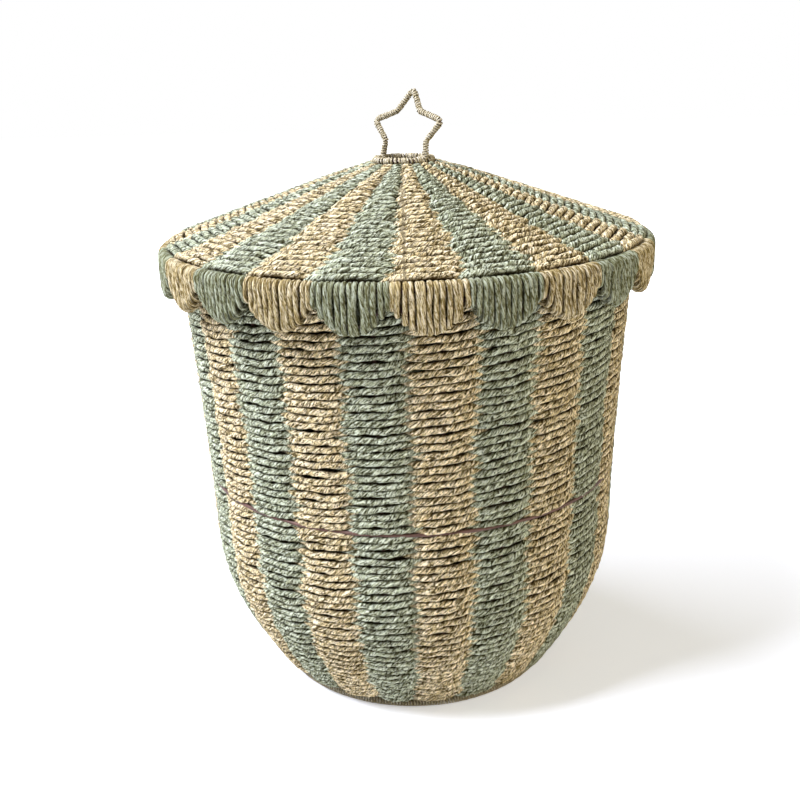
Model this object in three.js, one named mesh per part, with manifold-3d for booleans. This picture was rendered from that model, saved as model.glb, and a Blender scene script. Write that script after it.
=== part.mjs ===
// A round storage basket with a tent-shaped lid. Twisted paper rope is woven on
// a welded wire frame, and the lid has a wrapped scallop over each rib and a
// wire star as its handle.
// Millimetres, +Z up. The basket stands on z = 0, centred on the Z axis, with
// its front facing -Y.
import * as THREE from 'three';
import { mergeVertices } from 'three/addons/utils/BufferGeometryUtils.js';
import Module from 'manifold-3d';

const wasm = await Module();
wasm.setup();

// Gaps between pieces
const CLEARANCE = 0.3;
const LID_SEAT_GAP = 0.5;
const LID_SKIRT_GAP = 2;

// Ribs: one in the middle of each stripe
const RIB_COUNT = 24;
const BODY_TURN = 7.5;
const LID_TURN = 4.2;

// Outside of the body's weave
const RIM_HEIGHT = 368.4;
const WAIST_RADIUS = 175;
const WAIST_HEIGHT = 130;
const RIM_FLARE = 11.5;
const FLARE_POWER = 1.6;
const BOWL_DRAW = 50.7;
const BOWL_POWER = 1.82;

// Wires of the frame
const RIB_WIRE = 3;
const RIM_WIRE = 4;
const MID_HOOP_WIRE = 3;
const MID_HOOP_HEIGHT = 184;
const BASE_RING_WIRE = 3;
const LID_RIB_WIRE = 3;
const LID_HOOP_WIRE = 3.5;
const SCALLOP_WIRE = 3;
const CROWN_WIRE = 3;
const CROWN_RADIUS = 22.4;
const CROWN_WELD_DEPTH = 0.4;
const STAR_WIRE = 2.2;

// Ropes and cords
const BODY_ROPE = 4.7;
const LID_ROPE = 4.2;
const RIM_CORD = 2.9;
const BASE_CORD = 1.4;
const CROWN_CORD = 1.4;
const STAR_CORD = 1.15;
const PETAL_CORD = 3.7;

// Weave: how much thinner the wall is between two ribs, the floor's inner end of
// each rib, the bend where a rib turns up, and the flat that the foot stands on
const FLUTE_DEPTH = 1.3;
const FLOOR_RIB_START = 24;
const FLOOR_BEND = 4;
const HOOP_GAP = 1;
const STANDING_CUT = 0.5;

// Lid
const LID_SLOPE = 19.1;
const LID_HOOP_DROP = 2.4;
const LID_EYE_MARGIN = 1;
const PETAL_DEPTH = 36;
const PETAL_NOTCH = 20;

// Star, as seen square on: half width and height above the crown ring's middle
const STAR_TURN = 40;
const STAR_LEAN = 12;
const STAR_BEND_RADIUS = 3.2;
const STAR_ANKLE = [20.9, 14.7];
const STAR_SIDE_TIP = [34.6, 30.4];
const STAR_SHOULDER = [11.7, 37.6];
const STAR_TOP = [3, 54.8];

// Fineness of the facets
const COLUMNS = 2 * RIB_COUNT;
const LID_HOOP_COLUMNS = 3 * RIB_COUNT;
const PETAL_COLUMNS = 6;
const HOOP_SIDES = 5;

const degrees = THREE.MathUtils.degToRad;
const FULL_TURN = 2 * Math.PI;
const RIB_PITCH = FULL_TURN / RIB_COUNT;

const MATERIALS = {
  green: new THREE.MeshStandardMaterial({ color: 0x93a391, roughness: 0.85, metalness: 0 }),
  natural: new THREE.MeshStandardMaterial({ color: 0xcbb88e, roughness: 0.85, metalness: 0 }),
  wire: new THREE.MeshStandardMaterial({ color: 0x5b3a28, roughness: 0.6, metalness: 0.6 }),
};

// Solids and booleans

function toSolid(geometry) {
  const bare = geometry.clone();
  bare.deleteAttribute('normal');
  bare.deleteAttribute('uv');
  const merged = mergeVertices(bare);
  const corners = merged.index.array;
  const faces = [];
  for (let i = 0; i < corners.length; i += 3) {
    const [a, b, c] = [corners[i], corners[i + 1], corners[i + 2]];
    if (a !== b && b !== c && c !== a) {
      faces.push(a, b, c);
    }
  }
  return new wasm.Manifold(new wasm.Mesh({
    numProp: 3,
    vertProperties: new Float32Array(merged.attributes.position.array),
    triVerts: new Uint32Array(faces),
  }));
}

function toGeometry(solid) {
  const mesh = solid.getMesh();
  const geometry = new THREE.BufferGeometry();
  geometry.setAttribute('position', new THREE.BufferAttribute(mesh.vertProperties, 3));
  geometry.setIndex(new THREE.BufferAttribute(mesh.triVerts, 1));
  geometry.computeVertexNormals();
  return geometry;
}

function cut(geometry, tools) {
  let solid = toSolid(geometry);
  for (const tool of tools) {
    solid = solid.subtract(toSolid(tool));
  }
  return toGeometry(solid);
}

function weld(geometries) {
  let solid = toSolid(geometries[0]);
  for (const geometry of geometries.slice(1)) {
    solid = solid.add(toSolid(geometry));
  }
  return toGeometry(solid);
}

// A profile of [radius, height] points turned round the Z axis. Every second
// column takes its points from the profile between the ribs.

function turned(profile, between = profile, columns = COLUMNS) {
  const points = profile.map(([radius, height]) => new THREE.Vector2(radius, height));
  const geometry = new THREE.LatheGeometry(points, columns);
  for (let column = 1; column < columns; column += 2) {
    const angle = column * FULL_TURN / columns;
    between.forEach(([radius, height], row) => {
      const vertex = column * profile.length + row;
      const [x, z] = [radius * Math.sin(angle), radius * Math.cos(angle)];
      geometry.attributes.position.setXYZ(vertex, x, height, z);
    });
  }
  return geometry.rotateX(Math.PI / 2);
}

// Points on an arc about [radius, height], from one angle to another in degrees.
// A hole's points lie outside the arc, so that its flats keep clear of the wire.

function arc([radius, height], size, from, to, steps, isHole = false) {
  const half = degrees((to - from) / steps / 2);
  const reach = isHole ? size / Math.cos(half) : size;
  const points = [];
  for (let step = 0; step <= steps; step += 1) {
    const angle = degrees(from + (to - from) * step / steps);
    points.push([radius + reach * Math.cos(angle), height + reach * Math.sin(angle)]);
  }
  return points;
}

// A wire's route: straight between its points, and square to the mean of the two
// directions at each.

class WirePath extends THREE.Curve {
  constructor(points) {
    super();
    this.points = points;
  }

  getUtoTmapping(u) {
    return u;
  }

  getPoint(t, target = new THREE.Vector3()) {
    const last = this.points.length - 1;
    const index = Math.min(Math.floor(t * last), last - 1);
    return target.lerpVectors(this.points[index], this.points[index + 1], t * last - index);
  }

  getTangent(t, target = new THREE.Vector3()) {
    const index = Math.round(t * (this.points.length - 1));
    const here = this.points[index];
    const behind = this.points[index - 1] ?? here;
    const ahead = this.points[index + 1] ?? here;
    const arriving = here.clone().sub(behind).normalize();
    const leaving = ahead.clone().sub(here).normalize();
    return target.addVectors(arriving, leaving).normalize();
  }
}

function swept(points, radius, sides, firstCorner = 0) {
  const corners = [];
  for (let side = 0; side < sides; side += 1) {
    const angle = firstCorner + side * FULL_TURN / sides;
    corners.push(new THREE.Vector2(radius * Math.cos(angle), radius * Math.sin(angle)));
  }
  return new THREE.ExtrudeGeometry(new THREE.Shape(corners), {
    steps: points.length - 1,
    extrudePath: new WirePath(points),
  });
}

function wire(points, diameter, sides = HOOP_SIDES) {
  return swept(points, diameter / 2, sides);
}

// The square channel that a wire lies in, with the clearance on its four sides.

function channel(points, diameter) {
  const halfWidth = diameter / 2 + CLEARANCE;
  return swept(points, halfWidth * Math.SQRT2, 4, Math.PI / 4);
}

function hoop(radius, diameter, height, columns = COLUMNS) {
  const geometry = new THREE.TorusGeometry(radius, diameter / 2, HOOP_SIDES, columns);
  return geometry.rotateZ(-Math.PI / 2).translate(0, 0, height);
}

// A point on the basket's front, facing -Y.

function front(radius, height) {
  return new THREE.Vector3(0, -radius, height);
}

// The geometry copied to every rib's place.

function atRibs(geometry) {
  const copies = [];
  for (let rib = 0; rib < RIB_COUNT; rib += 1) {
    copies.push(geometry.clone().rotateZ(rib * RIB_PITCH));
  }
  return copies;
}

// Body: a bowl below the waist and a gentle flare above it

const HALF_WALL = RIB_WIRE / 2 + BODY_ROPE;

function outerRadius(height) {
  const above = Math.max(0, (height - WAIST_HEIGHT) / (RIM_HEIGHT - WAIST_HEIGHT));
  const below = Math.max(0, 1 - height / WAIST_HEIGHT);
  const flare = RIM_FLARE * above ** FLARE_POWER;
  const bowl = BOWL_DRAW * below ** BOWL_POWER;
  return WAIST_RADIUS + flare - bowl;
}

// The point at a depth below the outside, square to it at the given height.

function wallPoint(height, depth) {
  const step = 0.5;
  const lean = (outerRadius(height + step) - outerRadius(height - step)) / (2 * step);
  const length = Math.hypot(1, lean);
  return [outerRadius(height) - depth / length, height + depth * lean / length];
}

const RIM_WRAP_RADIUS = RIM_WIRE / 2 + CLEARANCE + RIM_CORD;
const RIM_CENTRE_HEIGHT = RIM_HEIGHT - RIM_WRAP_RADIUS;
const RIM_CENTRE_RADIUS = wallPoint(RIM_CENTRE_HEIGHT, HALF_WALL)[0];
const WEAVE_TOP = RIM_CENTRE_HEIGHT - RIM_WRAP_RADIUS - CLEARANCE;

const BASE_WRAP_RADIUS = BASE_RING_WIRE / 2 + CLEARANCE + BASE_CORD;
const BASE_RING_HEIGHT = BASE_WRAP_RADIUS - STANDING_CUT;
const BASE_RING_RADIUS = WAIST_RADIUS - BOWL_DRAW - BASE_WRAP_RADIUS;
const BASE_RING_TOP = BASE_RING_HEIGHT + BASE_WRAP_RADIUS;

const FLOOR_RIB_HEIGHT = BASE_RING_TOP + CLEARANCE + CLEARANCE + RIB_WIRE / 2 + CLEARANCE;
const FLOOR_HALF = FLOOR_RIB_HEIGHT - STANDING_CUT - BASE_CORD - CLEARANCE;

const BOWL_HEIGHTS = [0.14, 0.33, 0.6, 1].map((share) => share * WAIST_HEIGHT);
const FLARE_HEIGHTS = [0.5].map((share) => WAIST_HEIGHT + share * (WEAVE_TOP - WAIST_HEIGHT));
const WALL_HEIGHTS = [...BOWL_HEIGHTS, ...FLARE_HEIGHTS];

// The rib lies along the floor, turns up over the base ring and follows the wall.

function ribPoints(start) {
  const turn = wallPoint(BOWL_HEIGHTS[0] / 2, HALF_WALL);
  const corner = [BASE_RING_RADIUS, FLOOR_RIB_HEIGHT];
  const middle = [corner[0] + (turn[0] - corner[0]) / FLOOR_BEND, corner[1] + CLEARANCE];
  return [
    front(start, FLOOR_RIB_HEIGHT),
    front(corner[0] - FLOOR_BEND, FLOOR_RIB_HEIGHT),
    front(...middle),
    front(...turn),
    ...WALL_HEIGHTS.map((height) => front(...wallPoint(height, HALF_WALL))),
    front(RIM_CENTRE_RADIUS, RIM_CENTRE_HEIGHT - RIM_WIRE / 2 - CLEARANCE),
  ];
}

const RIB_GEOMETRY = wire(ribPoints(FLOOR_RIB_START), RIB_WIRE);
const ABOVE_RIB = front(RIM_CENTRE_RADIUS, RIM_HEIGHT);
const RIB_CHANNEL = channel([...ribPoints(FLOOR_RIB_START - CLEARANCE), ABOVE_RIB], RIB_WIRE);

// The weave's section. The base ring nests in a notch under its outer edge, and
// the middle hoop lies in a gap between two rows.

const MID_HOOP_DEPTH = HALF_WALL - RIB_WIRE / 2 - CLEARANCE - MID_HOOP_WIRE / 2;
const MID_HOOP_RADIUS = wallPoint(MID_HOOP_HEIGHT, MID_HOOP_DEPTH)[0];

function weaveProfile(flute) {
  const notchTop = BASE_RING_TOP + CLEARANCE;
  const notchRadius = BASE_RING_RADIUS - BASE_WRAP_RADIUS - CLEARANCE;
  const floorBottom = FLOOR_RIB_HEIGHT - FLOOR_HALF;
  const floorTop = FLOOR_RIB_HEIGHT + FLOOR_HALF;
  const halfGap = MID_HOOP_WIRE / 2 + HOOP_GAP;
  const gapBottom = MID_HOOP_HEIGHT - halfGap;
  const gapTop = MID_HOOP_HEIGHT + halfGap;
  const gapDepth = MID_HOOP_DEPTH + MID_HOOP_WIRE / 2 + CLEARANCE;
  const inside = 2 * HALF_WALL - flute;
  const floorEdge = wallPoint(BOWL_HEIGHTS[0] / 2, inside)[0];
  const below = WALL_HEIGHTS.filter((height) => height < gapBottom);
  const above = WALL_HEIGHTS.filter((height) => height > gapTop);
  const outside = (height) => wallPoint(height, flute);
  return [
    [0, floorBottom],
    [notchRadius, floorBottom],
    [notchRadius, notchTop],
    [outerRadius(notchTop) - flute, notchTop],
    ...below.map(outside),
    outside(gapBottom),
    wallPoint(gapBottom, gapDepth),
    wallPoint(gapTop, gapDepth),
    outside(gapTop),
    ...above.map(outside),
    [outerRadius(WEAVE_TOP) - flute, WEAVE_TOP],
    [outerRadius(WEAVE_TOP) - inside, WEAVE_TOP],
    ...WALL_HEIGHTS.toReversed().map((height) => wallPoint(height, inside)),
    [floorEdge, floorTop],
    [0, floorTop],
  ];
}

// A wrap round a hoop: a sleeve whose section is open on its hidden side. The
// gaps are half the opening, in degrees, at the outside and at the hole.

function sleeveProfile(centre, wireDiameter, cord, openAngle, outerGap, holeGap) {
  const hole = wireDiameter / 2 + CLEARANCE;
  const [from, to] = [openAngle, openAngle + 360];
  const ring = [
    ...arc(centre, hole + cord, from + outerGap, to - outerGap, 6),
    ...arc(centre, hole, to - holeGap, from + holeGap, 3, true),
  ];
  return [...ring, ring[0]];
}

// The rim's wrap is open below, where the ribs come up to the hoop.

function rimWrapProfile() {
  const halfSlot = RIB_WIRE / 2 + CLEARANCE;
  const gap = (radius) => THREE.MathUtils.radToDeg(Math.asin(halfSlot / radius));
  const holeGap = gap(RIM_WIRE / 2 + CLEARANCE);
  const centre = [RIM_CENTRE_RADIUS, RIM_CENTRE_HEIGHT];
  return sleeveProfile(centre, RIM_WIRE, RIM_CORD, 270, gap(RIM_WRAP_RADIUS), holeGap);
}

// The foot's wrap is open towards the floor's underside and cut flat below.

function baseWrapProfile() {
  const centre = [BASE_RING_RADIUS, BASE_RING_HEIGHT];
  const hole = BASE_RING_WIRE / 2 + CLEARANCE;
  const flat = THREE.MathUtils.radToDeg(Math.acos(BASE_RING_HEIGHT / BASE_WRAP_RADIUS));
  const slit = 10;
  const ring = [
    ...arc(centre, BASE_WRAP_RADIUS, 180 + slit, 270 - flat, 1),
    ...arc(centre, BASE_WRAP_RADIUS, 270 + flat, 540 - slit, 4),
    ...arc(centre, hole, 540 - 2 * slit, 180 + 2 * slit, 4, true),
  ];
  return [...ring, ring[0]];
}

// Lid: its ribs run straight from the crown down to the lid's hoop

const LID_HALF = LID_RIB_WIRE / 2 + LID_ROPE;
const LID_LEAN = Math.tan(degrees(LID_SLOPE));
const LID_STEEP = Math.cos(degrees(LID_SLOPE));
const PETAL_THICKNESS = LID_HOOP_WIRE + 2 * (CLEARANCE + PETAL_CORD);
const PETAL_INSIDE = WAIST_RADIUS + RIM_FLARE + LID_SKIRT_GAP;
const LID_HOOP_RADIUS = PETAL_INSIDE + PETAL_THICKNESS / 2;
const LID_RADIUS = PETAL_INSIDE + PETAL_THICKNESS;

function lidRibHeight(radius) {
  const seat = (RIM_WRAP_RADIUS + LID_SEAT_GAP + LID_HALF) / LID_STEEP;
  return RIM_CENTRE_HEIGHT + seat + (RIM_CENTRE_RADIUS - radius) * LID_LEAN;
}

function lidRibPoints(start, end) {
  return [front(start, lidRibHeight(start)), front(end, lidRibHeight(end))];
}

function lidChannel() {
  const [start, end] = [LID_RIB_START - LID_RIB_WIRE, LID_HOOP_RADIUS + CLEARANCE];
  return channel(lidRibPoints(start, end), LID_RIB_WIRE);
}

const LID_HOOP_HEIGHT = lidRibHeight(LID_HOOP_RADIUS) - LID_HOOP_DROP;
const PETAL_TOP = LID_HOOP_HEIGHT + LID_HOOP_WIRE / 2 + CLEARANCE + PETAL_CORD;
const CROWN_WRAP_RADIUS = CROWN_WIRE / 2 + CLEARANCE + CROWN_CORD;
const CROWN_STACK = (LID_RIB_WIRE + CROWN_WIRE) / 2 - CROWN_WELD_DEPTH;
const CROWN_HEIGHT = lidRibHeight(CROWN_RADIUS) + CROWN_STACK;
const LID_RIB_START = CROWN_RADIUS - CROWN_WIRE;
const LID_EYE_RADIUS = CROWN_RADIUS + CROWN_WRAP_RADIUS + LID_EYE_MARGIN;

// The crown ring, the ribs and the hoop at the edge are welded into one piece.

function lidFrame() {
  const crown = hoop(CROWN_RADIUS, CROWN_WIRE, CROWN_HEIGHT, RIB_COUNT);
  const edge = hoop(LID_HOOP_RADIUS, LID_HOOP_WIRE, LID_HOOP_HEIGHT, LID_HOOP_COLUMNS);
  const rib = wire(lidRibPoints(LID_RIB_START, LID_HOOP_RADIUS), LID_RIB_WIRE);
  return weld([crown, edge, ...atRibs(rib)]);
}

function lidWeaveProfile(flute) {
  const rise = (LID_HALF - flute) / LID_STEEP;
  const eye = LID_EYE_RADIUS;
  const edge = PETAL_INSIDE - CLEARANCE;
  const shoulder = eye + LID_ROPE;
  const ring = [
    [eye, lidRibHeight(eye) - rise],
    [edge, lidRibHeight(edge) - rise],
    [edge, lidRibHeight(edge) + rise],
    [shoulder, lidRibHeight(shoulder) + rise],
    [eye, lidRibHeight(eye) + rise / 2],
  ];
  return [...ring, ring[0]];
}

function lidWeave() {
  return cut(turned(lidWeaveProfile(0), lidWeaveProfile(FLUTE_DEPTH)), atRibs(lidChannel()));
}

// Scallops: a wrapped sleeve over the lid's hoop and the wavy wire below it

function petalBottom(share) {
  const hang = (PETAL_DEPTH - PETAL_NOTCH) * Math.cos(share * Math.PI / 2);
  return PETAL_TOP - PETAL_NOTCH - hang;
}

function petalSection(share) {
  const bottom = petalBottom(share);
  const bevel = PETAL_CORD * 0.8;
  const halfHole = LID_HOOP_WIRE / 2 + CLEARANCE;
  const outer = [
    [PETAL_INSIDE, bottom],
    [LID_RADIUS, bottom],
    [LID_RADIUS, PETAL_TOP - bevel],
    [LID_RADIUS - bevel, PETAL_TOP],
    [PETAL_INSIDE + bevel, PETAL_TOP],
    [PETAL_INSIDE, PETAL_TOP - bevel],
  ];
  const hole = [
    [LID_HOOP_RADIUS - halfHole, bottom + PETAL_CORD],
    [LID_HOOP_RADIUS + halfHole, bottom + PETAL_CORD],
    [LID_HOOP_RADIUS + halfHole, PETAL_TOP - PETAL_CORD],
    [LID_HOOP_RADIUS - halfHole, PETAL_TOP - PETAL_CORD],
  ];
  return { outer, hole };
}

// Lofts the sections side by side, and closes the two ends round the hole.

function petalGeometry() {
  const halfSpan = RIB_PITCH / 2 - CLEARANCE / 2 / PETAL_INSIDE;
  const vertices = [];
  const faces = [];
  const outerCount = petalSection(0).outer.length;
  const holeCount = petalSection(0).hole.length;
  const count = outerCount + holeCount;
  for (let column = 0; column <= PETAL_COLUMNS; column += 1) {
    const share = 2 * column / PETAL_COLUMNS - 1;
    const angle = share * halfSpan;
    const { outer, hole } = petalSection(share);
    for (const [radius, height] of [...outer, ...hole]) {
      vertices.push(radius * Math.sin(angle), -radius * Math.cos(angle), height);
    }
  }
  const quad = (a, b, c, d) => faces.push(a, b, c, a, c, d);
  for (let column = 0; column < PETAL_COLUMNS; column += 1) {
    const here = column * count;
    const next = here + count;
    for (let i = 0; i < outerCount; i += 1) {
      const j = (i + 1) % outerCount;
      quad(here + i, next + i, next + j, here + j);
    }
    for (let i = 0; i < holeCount; i += 1) {
      const j = (i + 1) % holeCount;
      const [low, high] = [outerCount + i, outerCount + j];
      quad(here + high, next + high, next + low, here + low);
    }
  }
  // Corners of an end, as outer points against the nearest hole points
  const endFaces = [
    [0, 1, 7], [0, 7, 6], [1, 2, 8], [1, 8, 7], [2, 3, 8],
    [3, 4, 9], [3, 9, 8], [4, 5, 9], [5, 0, 6], [5, 6, 9],
  ];
  const lastColumn = PETAL_COLUMNS * count;
  for (const [a, b, c] of endFaces) {
    faces.push(a, b, c, lastColumn + a, lastColumn + c, lastColumn + b);
  }
  const geometry = new THREE.BufferGeometry();
  geometry.setAttribute('position', new THREE.Float32BufferAttribute(vertices, 3));
  geometry.setIndex(faces);
  return cut(geometry, [lidChannel()]);
}

// The wavy wire: up against the hoop between two scallops, and down in the belly
// of each one.

function scallopWire() {
  const stack = (LID_HOOP_WIRE + SCALLOP_WIRE) / 2 + CLEARANCE;
  const crest = LID_HOOP_HEIGHT - stack;
  const belly = petalBottom(0) + PETAL_CORD + CLEARANCE + SCALLOP_WIRE / 2;
  const steps = RIB_COUNT * PETAL_COLUMNS;
  const place = (step) => {
    const angle = (step / PETAL_COLUMNS - 0.5) * RIB_PITCH;
    const share = 2 * (step % PETAL_COLUMNS) / PETAL_COLUMNS - 1;
    const height = crest - (crest - belly) * Math.cos(share * Math.PI / 2);
    const [x, y] = [LID_HOOP_RADIUS * Math.sin(angle), -LID_HOOP_RADIUS * Math.cos(angle)];
    return new THREE.Vector3(x, y, height);
  };
  const vertices = [];
  const faces = [];
  for (let step = 0; step < steps; step += 1) {
    const here = place(step);
    const arriving = here.clone().sub(place((step + steps - 1) % steps)).normalize();
    const leaving = place((step + 1) % steps).sub(here).normalize();
    const along = arriving.add(leaving).normalize();
    const out = new THREE.Vector3(here.x, here.y, 0).normalize();
    out.addScaledVector(along, -out.dot(along)).normalize();
    const across = new THREE.Vector3().crossVectors(along, out);
    for (let side = 0; side < HOOP_SIDES; side += 1) {
      const angle = side * FULL_TURN / HOOP_SIDES;
      const corner = here.clone();
      corner.addScaledVector(out, SCALLOP_WIRE / 2 * Math.cos(angle));
      corner.addScaledVector(across, SCALLOP_WIRE / 2 * Math.sin(angle));
      vertices.push(corner.x, corner.y, corner.z);
    }
    const next = (step + 1) % steps;
    for (let side = 0; side < HOOP_SIDES; side += 1) {
      const turn = (side + 1) % HOOP_SIDES;
      const [a, b] = [step * HOOP_SIDES + side, step * HOOP_SIDES + turn];
      const [c, d] = [next * HOOP_SIDES + turn, next * HOOP_SIDES + side];
      faces.push(a, b, c, a, c, d);
    }
  }
  const geometry = new THREE.BufferGeometry();
  geometry.setAttribute('position', new THREE.Float32BufferAttribute(vertices, 3));
  geometry.setIndex(faces);
  return geometry;
}

// Star: its two feet stand on the crown ring, and each corner is a small bend

function starCorners() {
  const half = [STAR_ANKLE, STAR_SIDE_TIP, STAR_SHOULDER];
  const left = half.map(([across, up]) => new THREE.Vector3(-across, 0, up));
  const right = half.toReversed().map(([across, up]) => new THREE.Vector3(across, 0, up));
  return [...left, new THREE.Vector3(STAR_TOP[0], 0, STAR_TOP[1]), ...right];
}

function starPoints(footHeight) {
  const stops = [
    new THREE.Vector3(-CROWN_RADIUS, 0, footHeight),
    ...starCorners(),
    new THREE.Vector3(CROWN_RADIUS, 0, footHeight),
  ];
  const points = [stops[0]];
  const bendSteps = 3;
  for (let i = 1; i < stops.length - 1; i += 1) {
    const arriving = stops[i].clone().sub(stops[i - 1]).normalize();
    const leaving = stops[i + 1].clone().sub(stops[i]).normalize();
    const turn = arriving.angleTo(leaving);
    const reach = STAR_BEND_RADIUS * Math.tan(turn / 2);
    const bend = new THREE.QuadraticBezierCurve3(
      stops[i].clone().addScaledVector(arriving, -reach),
      stops[i],
      stops[i].clone().addScaledVector(leaving, reach),
    );
    points.push(...bend.getPoints(bendSteps));
  }
  points.push(stops[stops.length - 1]);
  return points;
}

const STAR_WRAP_DIAMETER = STAR_WIRE + 2 * (CLEARANCE + STAR_CORD);

function leaned(geometry) {
  geometry.rotateX(-degrees(STAR_LEAN)).rotateZ(-degrees(STAR_TURN + LID_TURN));
  return geometry.translate(0, 0, CROWN_HEIGHT);
}

function starWire() {
  return leaned(wire(starPoints(CROWN_WIRE / 2 + CLEARANCE), STAR_WIRE, 6));
}

function starWrap() {
  const rod = wire(starPoints(CROWN_WRAP_RADIUS + 2 * CLEARANCE), STAR_WRAP_DIAMETER, 8);
  return leaned(cut(rod, [channel(starPoints(0), STAR_WIRE)]));
}

// The crown's wrap is open below, just clear of the ribs that the ring lies on.

function crownWrap() {
  const centre = [CROWN_RADIUS, CROWN_HEIGHT];
  const ribTop = CROWN_STACK * LID_STEEP - LID_RIB_WIRE / 2 - CLEARANCE;
  const gap = (radius) => THREE.MathUtils.radToDeg(Math.acos(ribTop / radius));
  const holeGap = gap(CROWN_WIRE / 2 + CLEARANCE);
  const down = 270 - LID_SLOPE;
  const outerGap = gap(CROWN_WRAP_RADIUS);
  const profile = sleeveProfile(centre, CROWN_WIRE, CROWN_CORD, down, outerGap, holeGap);
  return cut(turned(profile, profile, RIB_COUNT), [leaned(channel(starPoints(0), STAR_WIRE))]);
}

// The scene

const basket = new THREE.Group();
const body = new THREE.Group();
const lid = new THREE.Group();
body.rotation.z = degrees(BODY_TURN);
lid.rotation.z = degrees(LID_TURN);
basket.add(body, lid);

function place(group, name, geometry, material, turn = 0) {
  const mesh = new THREE.Mesh(geometry, material);
  mesh.name = name;
  mesh.rotation.z = turn;
  group.add(mesh);
}

function numbered(name, index) {
  return `${name}_${String(index + 1).padStart(2, '0')}`;
}

for (let rib = 0; rib < RIB_COUNT; rib += 1) {
  place(body, numbered('body_rib', rib), RIB_GEOMETRY, MATERIALS.wire, rib * RIB_PITCH);
}

const bodyWeave = cut(turned(weaveProfile(0), weaveProfile(FLUTE_DEPTH)), atRibs(RIB_CHANNEL));
place(body, 'rim_hoop', hoop(RIM_CENTRE_RADIUS, RIM_WIRE, RIM_CENTRE_HEIGHT), MATERIALS.wire);
place(body, 'rim_wrap', turned(rimWrapProfile()), MATERIALS.natural);
place(body, 'middle_hoop', hoop(MID_HOOP_RADIUS, MID_HOOP_WIRE, MID_HOOP_HEIGHT), MATERIALS.wire);
place(body, 'base_ring', hoop(BASE_RING_RADIUS, BASE_RING_WIRE, BASE_RING_HEIGHT), MATERIALS.wire);
place(body, 'base_ring_wrap', turned(baseWrapProfile()), MATERIALS.natural);
place(body, 'body_weave', bodyWeave, MATERIALS.natural);

const PETAL_GEOMETRY = petalGeometry();
for (let petal = 0; petal < RIB_COUNT; petal += 1) {
  const material = petal % 2 ? MATERIALS.green : MATERIALS.natural;
  place(lid, numbered('scallop', petal), PETAL_GEOMETRY, material, petal * RIB_PITCH);
}

place(lid, 'scallop_wire', scallopWire(), MATERIALS.wire);
place(lid, 'lid_frame', lidFrame(), MATERIALS.wire);
place(lid, 'lid_weave', lidWeave(), MATERIALS.natural);
place(lid, 'crown_wrap', crownWrap(), MATERIALS.natural);
place(lid, 'star_wire', starWire(), MATERIALS.wire);
place(lid, 'star_wrap', starWrap(), MATERIALS.natural);

export default basket;
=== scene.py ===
"""A round basket of twisted paper rope woven on a wire frame, with a tent-shaped lid."""
import math

import bpy
import numpy as np
from bpy.props import FloatProperty, FloatVectorProperty, IntProperty, PointerProperty
from mathutils import Matrix, Vector


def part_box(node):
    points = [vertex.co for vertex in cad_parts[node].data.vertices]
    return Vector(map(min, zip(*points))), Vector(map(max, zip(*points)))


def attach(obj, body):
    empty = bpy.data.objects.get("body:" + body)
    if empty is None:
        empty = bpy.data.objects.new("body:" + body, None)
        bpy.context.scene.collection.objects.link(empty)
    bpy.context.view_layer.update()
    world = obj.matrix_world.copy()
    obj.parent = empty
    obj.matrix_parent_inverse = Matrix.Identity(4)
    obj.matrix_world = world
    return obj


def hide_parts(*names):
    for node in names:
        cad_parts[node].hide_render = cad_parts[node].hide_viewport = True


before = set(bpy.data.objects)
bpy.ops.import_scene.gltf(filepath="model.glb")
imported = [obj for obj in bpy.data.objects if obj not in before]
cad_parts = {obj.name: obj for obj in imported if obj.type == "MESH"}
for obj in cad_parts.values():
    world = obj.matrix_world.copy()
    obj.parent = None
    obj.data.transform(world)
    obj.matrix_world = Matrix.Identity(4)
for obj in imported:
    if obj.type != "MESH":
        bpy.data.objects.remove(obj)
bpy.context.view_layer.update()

bl_info = {
    "name": "Lidded rope basket",
    "version": (1, 0, 0),
    "blender": (4, 5, 0),
    "location": "3D View > Sidebar > Basket",
    "description": "Dresses the basket's frame in twisted paper rope, wound cord and lacquer",
    "category": "Object",
}

MM = 0.001
FULL_TURN = 2 * math.pi

# Thickness of the weave's rope, on the body and on the lid, where it lies on a rib
BODY_ROPE = 4.7 * MM
LID_ROPE = 4.2 * MM

# Room between a wire and the cord wound round it, and room beside the weave's edges
CLEARANCE = 0.3 * MM
FLOOR_GAP = 0.9 * MM
FLOOR_EDGE = 0.6 * MM
CROWN_GAP = 0.6 * MM

# Where the wall's line starts, the height of its lowest row, and rows in one piece
WALL_START = 4 * MM
WALL_POINTS = 1500
FIRST_ROW = 14.2 * MM
ROWS_PER_PIECE = 20
UNEVEN_SEED = 29

# How much of a rope's half thickness lies beside the edge that it meets
EDGE_SHARE = 0.7

# The strands of a row, by the side that they start on
SIDES = ((1, "green"), (-1, "natural"))

# Where the ribs stand closer than this, the strands swing less from side to side
FULL_SWING_ROOM = 15 * MM
LEAST_SWING = 0.55

# Length that the swing adds to a strand at each rib, and the fewest points it has there
SWING_LENGTH = 2.2
LEAST_RIB_POINTS = 6

# How far a strand strays across the wall and in its twist, and how its size varies
ROUGHNESS = 0.12 * MM
TWIST_STRAY = 0.5
UNEVEN_LONG, UNEVEN_SHORT = 0.06, 0.045

# The floor's strands swing less than the wall's by this, and have longer steps
FLOOR_CLOSER = 0.15 * MM
FLOOR_STEP = 1.25

# The two ropes in the corner of floor and wall: how far outside the floor's edge they
# lie, their twists and points
CORNER_ABOVE, CORNER_BELOW = 2.6 * MM, 1.4 * MM
CORNER_TWISTS = 35
CORNER_POINTS = 320

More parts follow.
